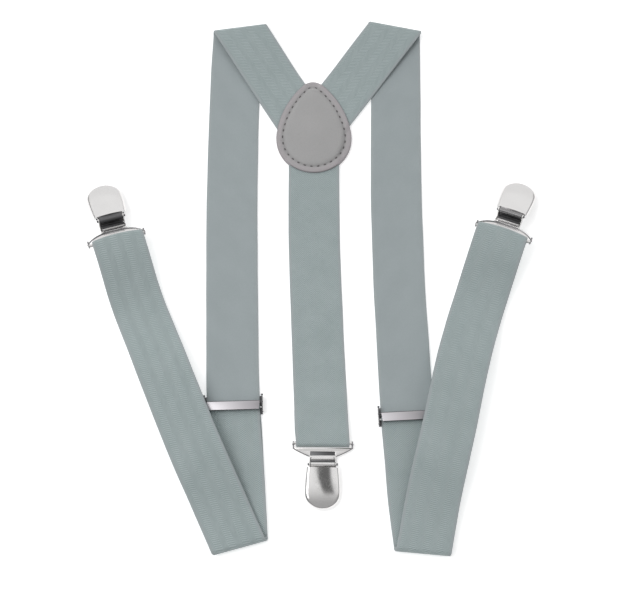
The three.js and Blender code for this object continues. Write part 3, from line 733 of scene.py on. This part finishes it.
def leather(name, node, profile, drop, mirror):
    """A leather face: rings drawn in from the outline, each at the height the profile gives."""
    vertices, hide, faces = [], [], []
    center = np.array([0.0, -3.5])
    depth = max(inset for inset, z in profile)
    rows = [(inset, z, 1.0) for inset, z in profile]
    rows += [(depth, None, f) for f in (0.86, 0.7, 0.52, 0.34, 0.16)]
    rim_z = profile[-1][1]
    for inset, z, scale in rows:
        for x, y, nx, ny in RING:
            p = np.array([x - nx * inset, y - ny * inset])
            p = center + (p - center) * scale
            height = z if z is not None else rim_z + mirror * 0.55 * (1 - scale ** 2)
            edge = min(max((SEAM_INSET + 2.6 - inset) / 3.4, 0), 1)
            if drop:
                height -= drop * edge * (1 - band_cover(x - nx * inset, y - ny * inset))
            vertices.append((p[0], p[1], height))
            groove = math.exp(-(((inset - SEAM_INSET) / 0.8) ** 2)) if scale == 1.0 else 0.0
            hide.append((inset if scale == 1.0 else depth, groove, 1 - scale))
    count = len(RING)
    for r in range(len(rows) - 1):
        for k in range(count):
            a, b = r * count + k, r * count + (k + 1) % count
            faces.append((a, b, b + count, a + count))
    hub = len(vertices)
    vertices.append((center[0], center[1], rim_z + mirror * 0.55))
    hide.append((depth, 0.0, 1.0))
    last = (len(rows) - 1) * count
    for k in range(count):
        faces.append((last + k, last + (k + 1) % count, hub))
    # The hidden face closes the sheet at its starting height
    floor = len(vertices)
    vertices.append((center[0], center[1], profile[0][1]))
    hide.append((depth, 0.0, 1.0))
    for k in range(count):
        faces.append(((k + 1) % count, k, floor))
    obj = make(name, vertices, faces, LEATHER)
    for face in obj.data.polygons[-count:]:
        face.use_smooth = False
    tag(obj, "hide", hide)
    outward(obj)
    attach(obj, "webbing_harness")
    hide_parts(node)
    return obj


TOP_PROFILE = [
    (0.35, 2.82), (0.0, 2.95), (0.0, 3.35), (0.1, 3.7), (0.35, 3.98), (0.8, 4.12), (1.6, 4.2),
    (2.6, 4.2), (3.4, 4.14), (3.9, 4.0), (4.25, 3.82), (4.55, 3.82), (4.9, 4.06), (5.4, 4.36),
    (6.1, 4.66), (6.9, 4.88), (7.8, 5.0),
]
BACK_PROFILE = [
    (0.35, 1.42), (0.0, 1.3), (0.0, 0.6), (0.1, 0.3), (0.35, 0.1), (0.8, 0.0), (2.8, 0.0),
    (3.6, 0.06), (4.1, 0.25), (4.4, 0.36), (4.7, 0.25), (5.2, 0.06), (6.0, 0.0), (7.4, 0.0),
]
leather("yoke_front", "yoke_front_leather", TOP_PROFILE, 1.0, 1)
leather("yoke_back", "yoke_back_leather", BACK_PROFILE, 0.0, 0)


def stitches():
    """Separate stitches set in the seam, on the front and on the back."""
    pitch_count = 34
    span = 2.1
    radius = 0.48
    seam = RING[:, :2] - RING[:, 2:] * SEAM_INSET
    closed = np.vstack([seam, seam[:1]])
    reach = np.concatenate([[0], np.cumsum(np.hypot(*np.diff(closed, axis=0).T))])
    vertices, twist, faces = [], [], []
    sides, steps = 8, 8

    def at(length):
        length = length % reach[-1]
        return np.array([np.interp(length, reach, closed[:, k]) for k in (0, 1)])

    for face_z, lift in ((3.98, 1), (0.22, -1)):
        for i in range(pitch_count):
            middle = reach[-1] * (i + 0.5) / pitch_count
            first = len(vertices)
            for j in range(steps + 1):
                f = j / steps * 2 - 1
                p = at(middle + f * span / 2)
                ahead = at(middle + f * span / 2 + 0.05) - p
                ahead /= np.linalg.norm(ahead)
                side = np.array([-ahead[1], ahead[0], 0])
                thick = radius * math.sqrt(max(1 - f ** 4, 0.02))
                z = face_z - lift * 0.34 * f * f
                if lift > 0:
                    z -= 1.0 * 0.76 * (1 - band_cover(p[0], p[1]))
                for k in range(sides):
                    turn = 2 * math.pi * k / sides
                    offset = side * thick * math.cos(turn)
                    height = z + lift * thick * math.sin(turn) * 0.8
                    vertices.append((p[0] + offset[0], p[1] + offset[1], max(height, 0.02)))
                    twist.append((f * span / 2, turn, i))
            for j in range(steps):
                for k in range(sides):
                    a = first + j * sides + k
                    b = first + j * sides + (k + 1) % sides
                    faces.append((a, b, b + sides, a + sides))
            faces.append(tuple(first + k for k in range(sides)))
            faces.append(tuple(first + steps * sides + k for k in reversed(range(sides))))
    obj = make("yoke_stitches", vertices, faces, THREAD)
    tag(obj, "twist", twist)
    outward(obj)
    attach(obj, "webbing_harness")
    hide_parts("yoke_seam_thread")


stitches()


# ---------------------------------------------------------------- metal parts
def assemble(name, chunks, matrix, material, body, nodes):
    """Joins (vertices, faces) chunks, given in a part's own axes, into one piece."""
    vertices, faces = [], []
    for points, polygons in chunks:
        base = len(vertices)
        vertices += [tuple(matrix @ Vector(p)) for p in points]
        faces += [tuple(base + i for i in f) for f in polygons]
    obj = make(name, vertices, faces, material)
    outward(obj)
    smooth_by_angle(obj, 35)
    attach(obj, body)
    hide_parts(*nodes)
    return obj


def smooth_by_angle(obj, degrees):
    obj.data.set_sharp_from_angle(angle=math.radians(degrees))


def pressed(outline, holes, z0, z1, bevel):
    """A flat pressing with softened edges."""
    curve = bpy.data.curves.new("pressing", "CURVE")
    curve.dimensions = "2D"
    curve.fill_mode = "BOTH"
    curve.extrude = (z1 - z0) / 2 - bevel
    curve.bevel_depth = bevel
    curve.bevel_resolution = 2
    curve.offset = -bevel
    for loop in [outline, *holes]:
        spline = curve.splines.new("POLY")
        spline.points.add(len(loop) - 1)
        for point, (x, y) in zip(spline.points, loop):
            point.co = (x, y, 0, 1)
        spline.use_cyclic_u = True
    obj = bpy.data.objects.new("pressing", curve)
    bpy.context.scene.collection.objects.link(obj)
    bpy.context.view_layer.update()
    mesh = bpy.data.meshes.new_from_object(obj.evaluated_get(bpy.context.evaluated_depsgraph_get()))
    bm = bmesh.new()
    bm.from_mesh(mesh)
    bmesh.ops.remove_doubles(bm, verts=bm.verts, dist=1e-4)
    points = [(v.co.x, v.co.y, v.co.z + (z0 + z1) / 2) for v in bm.verts]
    bm.verts.index_update()
    polygons = [[v.index for v in f.verts] for f in bm.faces]
    bm.free()
    bpy.data.objects.remove(obj)
    bpy.data.curves.remove(curve)
    bpy.data.meshes.remove(mesh)
    return points, polygons


def rounded_box(x0, x1, y0, y1, z0, z1, bevel):
    bm = bmesh.new()
    bmesh.ops.create_cube(bm, size=1)
    for v in bm.verts:
        v.co = Vector((
            (x0 + x1) / 2 + v.co.x * (x1 - x0), (y0 + y1) / 2 + v.co.y * (y1 - y0),
            (z0 + z1) / 2 + v.co.z * (z1 - z0),
        ))
    bmesh.ops.bevel(bm, geom=bm.edges, offset=bevel, segments=3, profile=0.5, affect="EDGES")
    bm.verts.index_update()
    result = [tuple(v.co) for v in bm.verts], [[v.index for v in f.verts] for f in bm.faces]
    bm.free()
    return result


def tube(path, radius, sides=14, cap=True):
    """A round rod along a path, with softened ends."""
    path = np.array(path, float)
    along = np.gradient(path, axis=0)
    along /= np.linalg.norm(along, axis=1)[:, None]
    points, polygons = [], []
    side = np.cross(along[0], (0, 0, 1.0))
    if np.linalg.norm(side) < 0.1:
        side = np.cross(along[0], (0, 1.0, 0))
    for p, d in zip(path, along):
        side = side - d * np.dot(side, d)
        side /= np.linalg.norm(side)
        up = np.cross(d, side)
        for k in range(sides):
            t = 2 * math.pi * k / sides
            points.append(tuple(p + side * radius * math.cos(t) + up * radius * math.sin(t)))
    for i in range(len(path) - 1):
        for k in range(sides):
            a, b = i * sides + k, i * sides + (k + 1) % sides
            polygons.append((a, b, b + sides, a + sides))
    if cap:
        for i, d in ((0, -1), (len(path) - 1, 1)):
            hub = len(points)
            points.append(tuple(path[i] + along[i] * d * radius * 0.45))
            ring = len(points)
            for k in range(sides):
                q = np.array(points[i * sides + k])
                inner = path[i] + (q - path[i]) * 0.7 + along[i] * d * radius * 0.32
                points.append(tuple(inner))
            for k in range(sides):
                a, b = i * sides + k, i * sides + (k + 1) % sides
                polygons.append((a, b, ring + (k + 1) % sides, ring + k))
                polygons.append((ring + k, ring + (k + 1) % sides, hub))
    return points, polygons


WING_X = 19.5
WING_Y = 0.4
NECK_X = 8.8
NECK_Y = 6.2
KNUCKLE_X = 7.6
EAR_T = 0.85
# Slot in the plate: half width, near edge, far edge
SLOT = (7.9, 3.0, 5.5)
SIDE_SLOT = (7.9, 4.9, 5.6)
# Slits at the roots of the ears
SLIT = (7.0, 7.0, 10.4)
JAW_X = 7.6
# Bowed edge of a front clip: rise in the middle, drop and reach at the ends
BOW_RISE = 4.9
BOW_DROP = 6.0
BOW_REACH = 19.2
CRESCENT_Y = 2.1
CRESCENT_X = 15.6
LIP_Y = 7.9
LIP_R = 0.55
BAR_R = 1.15
KNUCKLE_R = 1.5
LEVER_T = 0.7
LEAF_X = 7.5
PLATE_T = 1.0
PLATE_BEVEL = 0.2
JAW_TIP_Y = 35.0
LEVER_PIN = (12.05, 5.2, 0.8)
JAW_PIN = (16.6, 2.4, 0.6)
LEVER_START_Y = 13.85
LEVER_TIP_Y = 40.4
# Each lever: lean across, how far its tongue sits further out, and its width
LEVER_SET = {
    "left": (0.0, 3.4, 1.07), "right": (0.0, 1.0, 1.04), "center": (0.12, 0.3, 1.0),
}
LEVER_W0 = 10.4
LEVER_W1 = 11.5


def bezier(p0, p1, p2, count):
    p0, p1, p2 = (np.array(p, float) for p in (p0, p1, p2))
    return [
        tuple((1 - t) ** 2 * p0 + 2 * t * (1 - t) * p1 + t * t * p2)
        for t in np.linspace(0, 1, count)
    ]


def lower_jaw():
    """Right half of the outline beyond the neck."""
    side = [(NECK_X, JAW_PIN[0] + 2), (JAW_X, JAW_PIN[0] + 4), (JAW_X, JAW_TIP_Y - 4)]
    side += bezier((JAW_X, JAW_TIP_Y - 3.8), (JAW_X, JAW_TIP_Y + 0.5), (3, JAW_TIP_Y + 1), 6)
    return side


def bow(x):
    """Bowed outer edge of the wings of a front clip."""
    return BOW_RISE - BOW_DROP * abs(x / BOW_REACH) ** 3.2


def front_outline():
    """Plate of a front clip: a crescent that rises into the neck and the lower jaw."""
    right = [(x, CRESCENT_Y - 1.9 * (x / 16) ** 2) for x in np.linspace(0, CRESCENT_X, 9)][1:]
    right += [(x, bow(x)) for x in np.linspace(CRESCENT_X - 0.2, NECK_X + 3.2, 6)]
    right += bezier((NECK_X + 2.8, bow(NECK_X + 2.8) + 0.05), (NECK_X + 0.2, 4.3),
                    (NECK_X, NECK_Y + 0.6), 6)
    right += lower_jaw()
    return [(0.0, CRESCENT_Y)] + right + [(-x, y) for x, y in reversed(right)]


def clip_outline():
    """Plate of the back clip: straight wings that taper into the neck."""
    right = [(WING_X - 0.6, WING_Y)]
    right += bezier((WING_X - 0.5, WING_Y + 0.1), (WING_X - 0.1, WING_Y + 1.0),
                    (WING_X - 1.9, WING_Y + 1.8), 8)
    right += bezier((WING_X - 2.1, WING_Y + 1.9), (NECK_X + 4.2, NECK_Y - 1.7),
                    (NECK_X, NECK_Y), 10)
    right += lower_jaw()
    return right + [(-x, y) for x, y in reversed(right)]


def lever_dome(lean, further, wide):
    """Top sheet of the lever: a tongue, domed, leaning a little, with its rim turned down."""
    across_n, along_n = 28, 44
    points = []
    widest, shoulder_at = LEVER_W1, 0.62
    for j in range(along_n + 1):
        f = j / along_n
        for i in range(across_n + 1):
            u = math.sin(math.pi / 2 * (i / across_n * 2 - 1))
            if f <= 0.55:
                v = f / 0.55 * shoulder_at
                half = LEVER_W0 + (widest - LEVER_W0) * math.sin(math.pi / 2 * f / 0.55)
                rho = abs(u)
            else:
                turn = (f - 0.55) / 0.45 * math.radians(83)
                v = shoulder_at + (1 - shoulder_at) * math.sin(turn)
                half = widest * math.cos(turn)
                rho = math.sqrt((u * math.cos(turn)) ** 2 + math.sin(turn) ** 2 * 0.98)
            x = u * half
            y = LEVER_START_Y + further * (0.4 + 0.6 * v) + (LEVER_TIP_Y - LEVER_START_Y) * v
            rim = min(max((rho - 0.84) / 0.16, 0), 1)
            top = 6.7 - 1.3 * (x / widest) ** 2 - 2.4 * v ** 3 - 1.5 * rim * rim + lean * x
            points.append((x * wide, y, top))
    faces = []
    row = across_n + 1
    for j in range(along_n):
        for i in range(across_n):
            a = j * row + i
            faces.append((a, a + 1, a + 1 + row, a + row))
    return points, faces


def thickened(points, faces, depth):
    """Closes a single sheet into a solid by a second sheet below it."""
    bm = bmesh.new()
    verts = [bm.verts.new(p) for p in points]
    for f in faces:
        bm.faces.new([verts[i] for i in f])
    bm.normal_update()
    boundary = [e for e in bm.edges if e.is_boundary]
    lower = {v: bm.verts.new(v.co - v.normal * depth) for v in verts}
    old = list(bm.faces)
    for f in old:
        bm.faces.new([lower[v] for v in reversed(f.verts)])
    for e in boundary:
        a, b = e.verts
        bm.faces.new([a, b, lower[b], lower[a]])
    bm.verts.index_update()
    result = [tuple(v.co) for v in bm.verts], [[v.index for v in f.verts] for f in bm.faces]
    bm.free()
    return result


def ear(x0, x1):
    """Ear of the clip: rounded over the lever pin, lower over the jaw pin."""
    r = LEVER_PIN[2] + 0.7
    outline = [(LEVER_PIN[0] - r, 0.0), (JAW_PIN[0] + 1.6, 0.0), (JAW_PIN[0] + 1.6, 2.8),
               (JAW_PIN[0] + 0.8, 3.5), (LEVER_PIN[0] + r, 3.5)]
    outline += [
        (LEVER_PIN[0] + r * math.cos(t), LEVER_PIN[1] + r * math.sin(t))
        for t in np.linspace(0, math.pi, 14)
    ]
    points, polygons = pressed(outline, [], 0, x1 - x0, 0.12)
    return [(z + x0, x, y) for x, y, z in points], polygons


def clip_plate(side):
    """Plate with its slot and slits, the bar, the ears and the lip."""
    slot_x, slot_y0, slot_y1 = SLOT if side == "center" else SIDE_SLOT
    slit_x, slit_y0, slit_y1 = SLIT
    holes = [[(-slot_x, slot_y0), (-slot_x, slot_y1), (slot_x, slot_y1), (slot_x, slot_y0)]]
    for s in (-1, 1):
        x0, x1 = sorted((s * slit_x, s * (NECK_X - EAR_T)))
        holes.append([(x0, slit_y0), (x0, slit_y1), (x1, slit_y1), (x1, slit_y0)])
    outline = clip_outline() if side == "center" else front_outline()
    chunks = [pressed(outline, holes, -PLATE_T / 2, PLATE_T / 2, PLATE_BEVEL)]
    bar_x = WING_X - 0.6
    chunks.append(tube([(-bar_x, BAR_Y, 0), (bar_x, BAR_Y, 0)], BAR_R, 20, False))
    for inner in (-NECK_X, NECK_X - EAR_T):
        chunks.append(ear(inner, inner + EAR_T))
    lip = NECK_X - EAR_T - 0.2
    chunks.append(tube([(-lip, LIP_Y, LIP_R), (lip, LIP_Y, LIP_R)], LIP_R, 14, False))
    return chunks


def wing_rims(side):
    """Raised rims of the wings, and the tabs that hold the ends of the bar."""
    chunks = []
    for s in (-1, 1):
        if side == "center":
            arm = [(s * (WING_X - 0.55), BAR_Y - 0.9, 0.2), (s * (WING_X - 0.5), BAR_Y, 0.35),
                   (s * (WING_X - 0.45), BAR_Y + 1.6, 0.45),
                   (s * (WING_X - 0.6), WING_Y + 0.4, 0.45)]
            arm += bezier((s * (WING_X - 1.3), WING_Y + 1.2, 0.5),
                          (s * (NECK_X + 4.4), NECK_Y - 1.8, 0.5),
                          (s * (NECK_X - 0.1), NECK_Y - 0.1, 0.5), 12)
            chunks.append(tube(arm, 0.36, 14))
        chunks.append(ball((s * (WING_X - 0.45), BAR_Y + 0.9, 0.3), 0.85))
        tab_x = sorted((s * (WING_X - 1.0), s * WING_X))
        chunks.append(rounded_box(*tab_x, BAR_Y - 1.2, WING_Y + 0.9, -1.0, 0.9, 0.25))
    if side != "center":
        edge = [(x, bow(x), PLATE_T / 2) for x in np.linspace(-19.0, 19.0, 44)]
        chunks.append(tube(edge, 0.46, 12))
    return chunks


def clip_spring_and_shade():
    """Painted shade: a dark backing under the slot, and the ridged spring leaf under the knuckle, dark
    to stand for the shade in the cavity.
    """
    chunks = [rounded_box(-8.3, 8.3, 2.7, 10.7, -0.46, -0.22, 0.05)]
    chunks.append(rounded_box(-LEAF_X, LEAF_X, 8.6, 14.8, 0.42, 1.05, 0.15))
    for y in (9.6, 11.4, 13.0):
        chunks.append(tube([(-LEAF_X, y, 0.95), (LEAF_X, y, 0.95)], 0.3, 12, False))
    return chunks


def lever_knuckle(side):
    """Rolled knuckle round the lever pin, and the web that joins it to the tongue."""
    pin_y, pin_z = LEVER_PIN[:2]
    web_z = (3.9, 4.6) if side == "center" else (5.1, 5.9)
    return [
        tube([(-KNUCKLE_X, pin_y, pin_z), (KNUCKLE_X, pin_y, pin_z)], KNUCKLE_R, 24, False),
        rounded_box(-KNUCKLE_X, KNUCKLE_X, pin_y, LEVER_START_Y + 1.5, *web_z, 0.15),
    ]


def clip(side):
    matrix = clip_matrix(side)
    prefix = side + "_clip_"
    body, lever_body = side + "_clip", side + "_lever"
    tongue = [thickened(*lever_dome(*LEVER_SET[side]), LEVER_T)]
    frame_node, lever_node = [prefix + "frame"], [prefix + "lever"]
    # The knuckle is nickel on every clip; the darker metal on the side clips is painted shade and
    # painted reflection, dark on the left and mid-grey on the right.
    knuckle_nickel_and_shade = {"center": NICKEL, "left": DARK, "right": EDGE}[side]
    assemble(prefix + "body", clip_plate(side), matrix, NICKEL, body, frame_node)
    # The rims and tabs are the same nickel as the plate; their darker metal is painted shade for the
    # dark line along the rims.
    assemble(prefix + "rim", wing_rims(side), matrix, EDGE, body, frame_node)
    # Dark backing and leaf: painted shade in the slot and in the cavity under the knuckle.
    assemble(prefix + "spring", clip_spring_and_shade(), matrix, DARK, body, frame_node)
    assemble(prefix + "tongue", tongue, matrix, NICKEL, lever_body, lever_node)
    assemble(prefix + "knuckle", lever_knuckle(side), matrix, knuckle_nickel_and_shade,
             lever_body, lever_node)
    for node, material in (("jaw", NICKEL), ("lever_pin", DARK), ("jaw_pin", DARK),
                           ("back_pad", PAD), ("front_pad", PAD)):
        paint(prefix + node, material)


def paint(node, material):
    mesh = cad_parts[node].data
    mesh.materials.clear()
    mesh.materials.append(material)


def ball(center, radius):
    bm = bmesh.new()
    bmesh.ops.create_uvsphere(bm, u_segments=14, v_segments=10, radius=radius)
    bm.verts.index_update()
    points = [tuple(v.co + Vector(center)) for v in bm.verts]
    polygons = [[v.index for v in f.verts] for f in bm.faces]
    bm.free()
    return points, polygons


def adjuster(side):
    matrix = adjuster_matrix(side)
    prefix = side + "_adjuster_"
    body = side + "_adjuster"
    outer, inner, reach = 19.0, 18.6, 17.2
    chunks = [rounded_box(-outer, outer, -ADJ_Y, ADJ_Y, 0.0, 0.8, 0.2)]
    for s in (-1, 1):
        x0, x1 = sorted((s * inner, s * outer))
        chunks.append(rounded_box(x0, x1, -ADJ_Y + 0.3, ADJ_Y - 0.3, 0.1, 6.1, 0.2))
        x = s * (inner + outer) / 2
        waist = [(x, y, 6.0 - 0.25 * math.cos(y / ADJ_Y * math.pi)) for y in
                 np.linspace(-ADJ_Y + 0.5, ADJ_Y - 0.5, 12)]
        chunks.append(tube(waist, 0.34, 12))
        for y in (-ADJ_Y + 0.5, ADJ_Y - 0.5):
            chunks.append(ball((x, y, 6.1), 0.72))
    assemble(prefix + "plate", chunks, matrix, DARK, body, [prefix + "frame"])
    chunks = [tube([(-reach, 1.25, 5.05), (reach, 1.25, 5.05)], 1.08, 20, False)]
    outline = [(-reach + 0.7, -3.9), (reach - 0.7, -3.9), (reach, 1.6), (-reach, 1.6)]
    chunks.append(pressed(outline, [], 5.98, 6.6, 0.15))
    assemble(prefix + "catch", chunks, matrix, SATIN, side + "_lock",
             [prefix + "lock_bar"])
    # Dark rods along the lower and upper edges of the catch: a painted shadow line under its lower edge
    # and a painted dark line at its top.
    edge = [tube([(-reach + 0.9, -3.8, 6.1), (reach - 0.9, -3.8, 6.1)], 0.4, 12)]
    edge.append(tube([(-reach, 1.75, 6.2), (reach, 1.75, 6.2)], 0.26, 12))
    assemble(prefix + "catch_shade_edge", edge, matrix, DARK, side + "_lock",
             [prefix + "lock_bar"])
    paint(prefix + "anchor_bar", NICKEL)
    paint(prefix + "lock_pin", DARK)


for which in ("left", "right", "center"):
    clip(which)
for which in ("left", "right"):
    adjuster(which)

# ---------------------------------------------------------------- stage
CAMERA_TILT = math.radians(18.0)
CAMERA_DISTANCE = 1.0
CAMERA_LENS = 86.1
STUDIO_LEVEL = 0.98
AIM = Vector((0.0, -124.1, 0.0))

floor_mesh = bpy.data.meshes.new("floor")
floor_mesh.from_pydata([(-3, -3, 0), (3, -3, 0), (3, 3, 0), (-3, 3, 0)], [], [(0, 1, 2, 3)])
floor = bpy.data.objects.new("floor", floor_mesh)
bpy.context.scene.collection.objects.link(floor)
paper = Nodes("floor_paper")
paper.set(Base_Color=(0.93, 0.93, 0.93, 1.0))
paper.shader.inputs["Roughness"].default_value = 0.9
paper.shader.inputs["Specular IOR Level"].default_value = 0.1
paper.shader.inputs["Emission Color"].default_value = (1, 1, 1, 1)
paper.shader.inputs["Emission Strength"].default_value = 0.42
floor_mesh.materials.append(paper.material)

camera_data = bpy.data.cameras.new("camera")
camera_data.sensor_width = 36
camera_data.lens = CAMERA_LENS
camera_data.clip_start = 0.01
camera = bpy.data.objects.new("camera", camera_data)
aim = (AIM + Vector(SHIFT)) * MM
aim.z = 0
camera.location = aim + CAMERA_DISTANCE * Vector((0, -math.sin(CAMERA_TILT), math.cos(CAMERA_TILT)))
camera.rotation_euler = (CAMERA_TILT, 0, 0)
bpy.context.scene.collection.objects.link(camera)
bpy.context.scene.camera = camera


def softbox(name, location, target, size, power, color=(1, 1, 1)):
    data = bpy.data.lights.new(name, "AREA")
    data.shape = "RECTANGLE"
    data.size, data.size_y = size
    data.energy = power
    data.color = color
    light = bpy.data.objects.new(name, data)
    light.location = location
    direction = Vector(target) - Vector(location)
    light.rotation_euler = direction.to_track_quat("-Z", "Y").to_euler()
    bpy.context.scene.collection.objects.link(light)


softbox("key", (-0.85, -0.1, 1.4), (0, 0, 0), (1.2, 0.9), 8.6)

world = bpy.data.worlds.new("studio")
world.use_nodes = True
tree = world.node_tree


# A white studio: a dark gap between the overhead panels, dimmer behind the camera and low down
sky = Graph(tree)
direction = tree.nodes.new("ShaderNodeSeparateXYZ")
tree.links.new(tree.nodes.new("ShaderNodeTexCoord").outputs["Generated"], direction.inputs[0])
dx, dy, dz = direction.outputs
height = sky.math("MAXIMUM", dz, 0.05)
side_slope = sky.math("DIVIDE", dx, height)
long_slope = sky.math("DIVIDE", dy, height)
bend = sky.math("MINIMUM", sky.math("SUBTRACT", long_slope, 0.14), 0.0)
near_side = sky.math("MULTIPLY_ADD", bend, 0.85, side_slope)
far_side = sky.math("MULTIPLY_ADD", bend, 0.55, side_slope)
gap = sky.math("MULTIPLY", sky.smooth(near_side, 0.02, 0.09), sky.smooth(far_side, 0.4, 0.5, 1.0, 0.0))
gap = sky.math("MULTIPLY", gap, sky.smooth(long_slope, 0.5, 0.8, 1.0, 0.0))
gap = sky.math("MULTIPLY", gap, sky.smooth(long_slope, -0.18, -0.08))
behind = sky.smooth(long_slope, -0.34, 0.05, 0.45, 1.0)
aside = sky.math("ABSOLUTE", dx)
ahead = sky.math("MULTIPLY_ADD", aside, -0.8, dy)
low_down = sky.smooth(dz, 0.1, 0.4, 0.22, 1.0)
low_down = sky.math("MAXIMUM", low_down, sky.smooth(ahead, 0.15, 0.5, 0.0, 0.94))
level = sky.math("MULTIPLY", behind, low_down)
level = sky.math("MULTIPLY", level, sky.math("SUBTRACT", 1.0, sky.math("MULTIPLY", gap, 0.85)))
background = tree.nodes["Background"]
background.inputs[0].default_value = (1, 1, 1, 1)
tree.links.new(sky.math("MULTIPLY", level, STUDIO_LEVEL), background.inputs[1])
bpy.context.scene.world = world
bpy.context.scene.view_settings.view_transform = "Standard"
bpy.context.scene.view_settings.look = "None"
